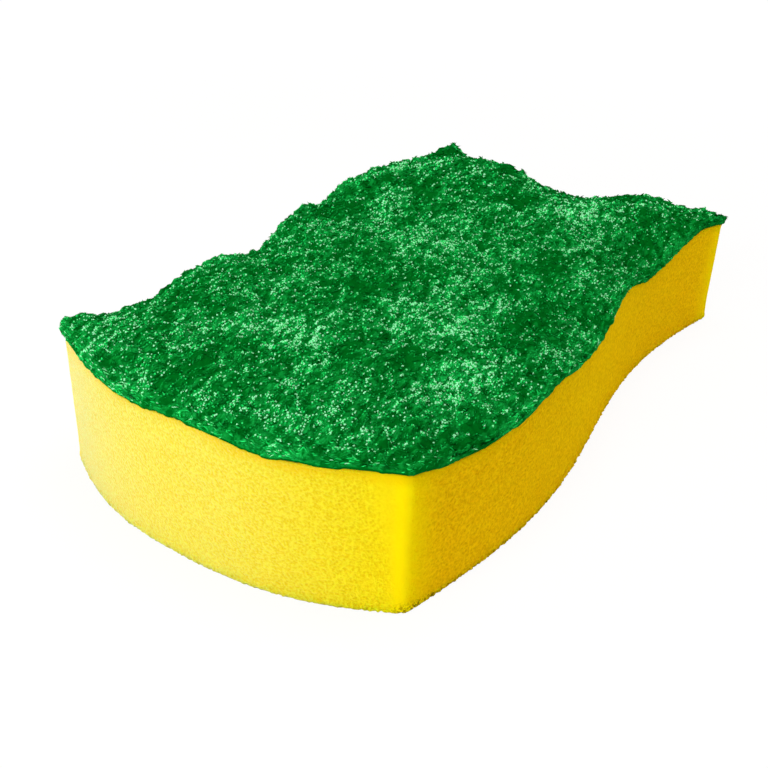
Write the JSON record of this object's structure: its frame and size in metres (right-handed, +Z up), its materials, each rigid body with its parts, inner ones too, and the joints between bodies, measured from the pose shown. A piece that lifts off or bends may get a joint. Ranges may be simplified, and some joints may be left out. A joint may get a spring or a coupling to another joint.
{
  "type": "cleaning sponge",
  "caption": "Hand sponge with wavy sides and bowed ends: a soft yellow foam block with a rough green scouring pad bonded over its top.",
  "frame": {"origin": "middle of the bounding box, on the flat underside of the foam that the sponge rests on", "axes": "+X along the length, away from the outward-bowed end; +Y across the width; +Z up, out of the scouring pad"},
  "size_m": [0.1364, 0.0784, 0.0298],
  "materials": {
    "foam": "open-cell polyurethane foam, soft and matt, with fine even pores",
    "pad": "non-woven web of resin-bonded fibres, rough, dark in its hollows and pale at its fibre ends"
  },
  "bodies": {
    "root": {"foam_block": "foam", "scouring_pad": "pad"}
  },
  "joints": []
}
